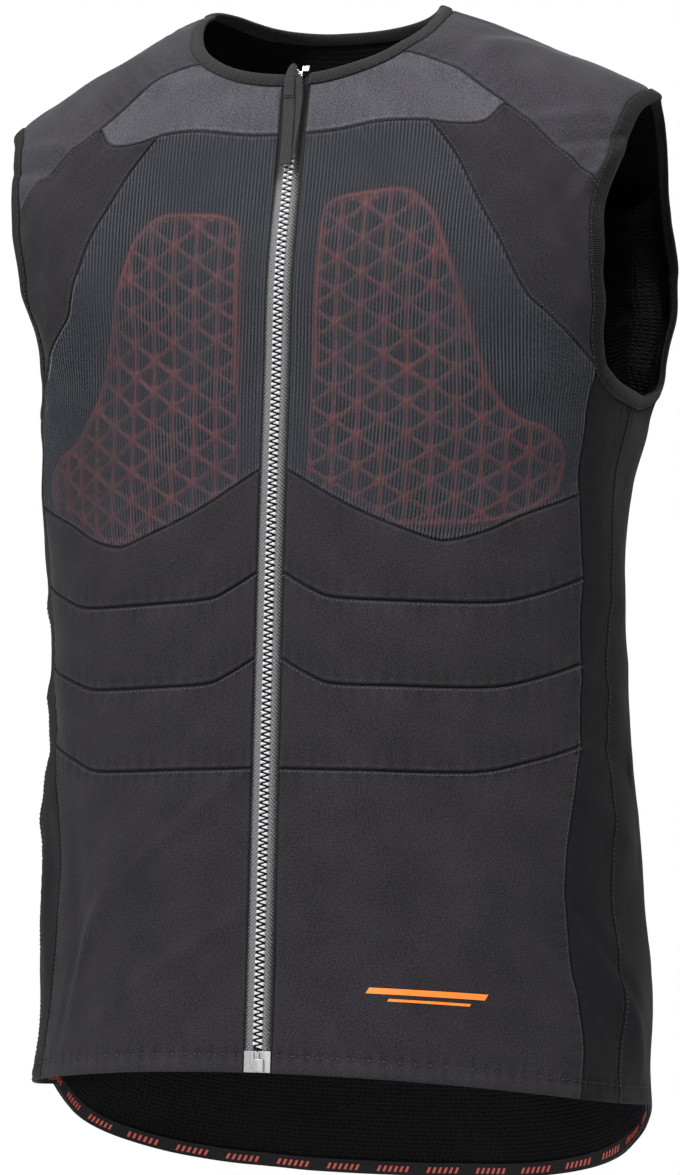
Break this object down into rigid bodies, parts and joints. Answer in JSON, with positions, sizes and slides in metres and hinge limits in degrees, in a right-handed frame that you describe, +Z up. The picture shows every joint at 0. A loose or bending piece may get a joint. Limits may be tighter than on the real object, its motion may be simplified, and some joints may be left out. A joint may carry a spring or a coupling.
{
  "type": "motorcycle back protector vest",
  "caption": "Sleeveless zip-front protector vest with soft pads behind chest mesh, banded waist, dropped tail and a pad down the back.",
  "frame": {"origin": "centre plane, level with the point where the neck opening meets the shoulders, where the vest sits on the wearer", "axes": "+Z up, -Y to the wearer's front, +X to the wearer's left"},
  "size_m": [0.4118, 0.2488, 0.7202],
  "materials": {
    "yoke": "lighter grey softshell, smooth with faint sheen",
    "softshell": "charcoal softshell, matt fine weave",
    "stretch": "black stretch knit",
    "mesh": "fine ribbed see-through mesh",
    "binding": "ribbed elastic binding",
    "tape": "speckled grey twill tape",
    "teeth": "glossy moulded teeth",
    "slider": "bright plated zinc",
    "stop": "clear-coated tape end",
    "pad": "soft red foam elastomer",
    "lining": "black mesh lining"
  },
  "bodies": {
    "root": {"yoke_left": "yoke", "yoke_right": "yoke", "armhole_panel_left": "softshell", "armhole_panel_right": "softshell", "chest_mesh_left": "mesh", "chest_mesh_right": "mesh", "upper_band_left": "softshell", "upper_band_right": "softshell", "middle_band_left": "softshell", "middle_band_right": "softshell", "lower_band_left": "softshell", "lower_band_right": "softshell", "lower_front_left": "softshell", "lower_front_right": "softshell", "side_front_left": "stretch", "side_front_right": "stretch", "side_back_left": "stretch", "side_back_right": "stretch", "armhole_binding_left": "binding", "armhole_binding_right": "binding", "zip_tape_left": "tape", "zip_tape_right": "tape", "zip_teeth_left": "teeth", "zip_teeth_right": "teeth", "chest_protector_left": "pad", "chest_protector_right": "pad", "pocket_lining_left": "lining", "pocket_lining_right": "lining", "back_panel": "softshell", "shoulder_yoke": "yoke", "neck_binding": "binding", "zip_stop": "stop", "zip_slider": "slider", "zip_pull": "binding", "back_protector": "pad", "back_lining": "lining", "tail_hem_tape": "binding"}
  },
  "joints": []
}
